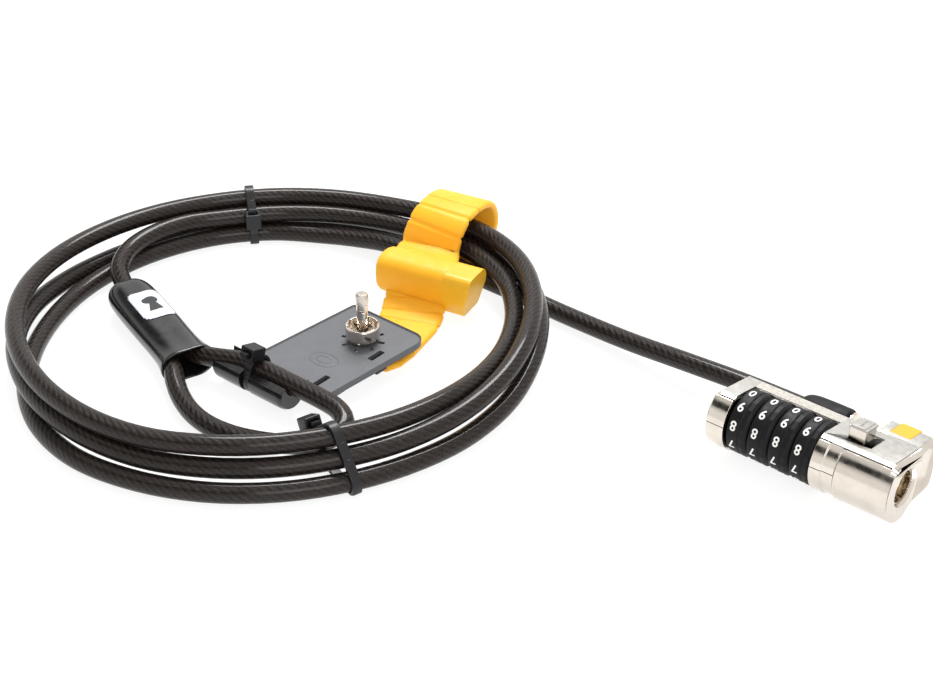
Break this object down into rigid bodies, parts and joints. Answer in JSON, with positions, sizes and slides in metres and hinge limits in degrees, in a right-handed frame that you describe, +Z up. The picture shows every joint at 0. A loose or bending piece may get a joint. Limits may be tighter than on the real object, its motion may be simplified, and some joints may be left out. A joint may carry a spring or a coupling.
{
  "type": "laptop cable lock",
  "caption": "Number-wheel combination lock head on a coiled steel cable with a crimped eye, cable ties, a rubber strap and a carry card that holds the lock's anchor.",
  "frame": {"origin": "on the floor under the middle of the lock head, which lies on its barrel and its lug", "axes": "+X along the lock head towards its key end, +Y from the head to the cable's swivel, +Z up"},
  "size_m": [0.2542, 0.1606, 0.0217],
  "materials": {
    "nickel": "bright nickel plate",
    "satin": "satin nickel plate",
    "steel": "plain machined steel",
    "brass": "machined brass",
    "black": "moulded black plastic",
    "boot": "glossy black vinyl",
    "jacket": "clear dark vinyl over steel rope",
    "yellow": "yellow plastic inlay",
    "strap": "yellow silicone rubber",
    "grey": "fine-grained grey plastic"
  },
  "bodies": {
    "cable": {"cable_lead": "jacket", "cable_coil": "jacket", "cable_tail": "jacket", "cable_eye": "jacket", "cable_boot": "boot", "cable_ferrule": "nickel", "crimp_sleeve": "boot", "cable_tie_back": "black", "cable_tie_front": "black", "cable_tie_card": "black", "strap_band": "strap", "strap_clasp": "strap", "strap_tail": "strap", "anchor_card": "grey"},
    "knuckle": {"swivel_knuckle": "steel"},
    "head": {"upper_case": "nickel", "lower_case": "nickel", "top_plate": "satin", "nose_housing": "nickel", "lug_insert": "yellow", "socket_sleeve": "steel", "case_screw_1": "steel", "case_screw_2": "steel", "detent_washer_1": "steel", "detent_washer_2": "steel", "detent_washer_3": "steel", "detent_washer_4": "steel", "wheel_spindle": "steel", "button_spring": "steel", "cylinder_sleeve": "nickel", "swivel_bracket": "nickel", "pivot_pin": "steel"},
    "wheel_1": {"number_wheel_1": "black", "wheel_hub_1": "brass"},
    "wheel_2": {"number_wheel_2": "black", "wheel_hub_2": "brass"},
    "wheel_3": {"number_wheel_3": "black", "wheel_hub_3": "brass"},
    "wheel_4": {"number_wheel_4": "black", "wheel_hub_4": "brass"},
    "button": {"release_button": "nickel", "latch_slide": "steel"},
    "key": {"key_plug": "brass", "plug_clip": "steel"},
    "anchor": {"anchor_post": "nickel", "anchor_collar": "nickel"}
  },
  "joints": [
    {"name": "cable_spin", "type": "hinge", "parent": "cable", "child": "knuckle", "pos_m": [0.00745, 0.00945, 0.00935], "axis": [1, 0, 0], "continuous": true},
    {"name": "cable_pivot", "type": "hinge", "parent": "knuckle", "child": "head", "pos_m": [0.00745, 0.00945, 0.00935], "axis": [0, 0, 1], "range_deg": [0, 90]},
    {"name": "wheel_1_turn", "type": "hinge", "parent": "head", "child": "wheel_1", "pos_m": [-0.0181, -0.00484, 0.00896], "axis": [1, 0, 0], "continuous": true},
    {"name": "wheel_2_turn", "type": "hinge", "parent": "head", "child": "wheel_2", "pos_m": [-0.0118, -0.00484, 0.00896], "axis": [1, 0, 0], "continuous": true},
    {"name": "wheel_3_turn", "type": "hinge", "parent": "head", "child": "wheel_3", "pos_m": [-0.0055, -0.00484, 0.00896], "axis": [1, 0, 0], "continuous": true},
    {"name": "wheel_4_turn", "type": "hinge", "parent": "head", "child": "wheel_4", "pos_m": [0.0008, -0.00484, 0.00896], "axis": [1, 0, 0], "continuous": true},
    {"name": "button_slide", "type": "slide", "parent": "head", "child": "button", "axis": [1, 0, 0], "range_m": [0, 0.002], "stiffness_N_per_m": 300, "springref_m": -0.0015, "deforming": ["button_spring"]},
    {"name": "key_turn", "type": "hinge", "parent": "head", "child": "key", "pos_m": [0.02625, -0.00475, 0.00945], "axis": [1, 0, 0], "range_deg": [0, 90]},
    {"name": "anchor_lift", "type": "slide", "parent": "cable", "child": "anchor", "axis": [0, 0, 1], "range_m": [0, 0.016]}
  ]
}
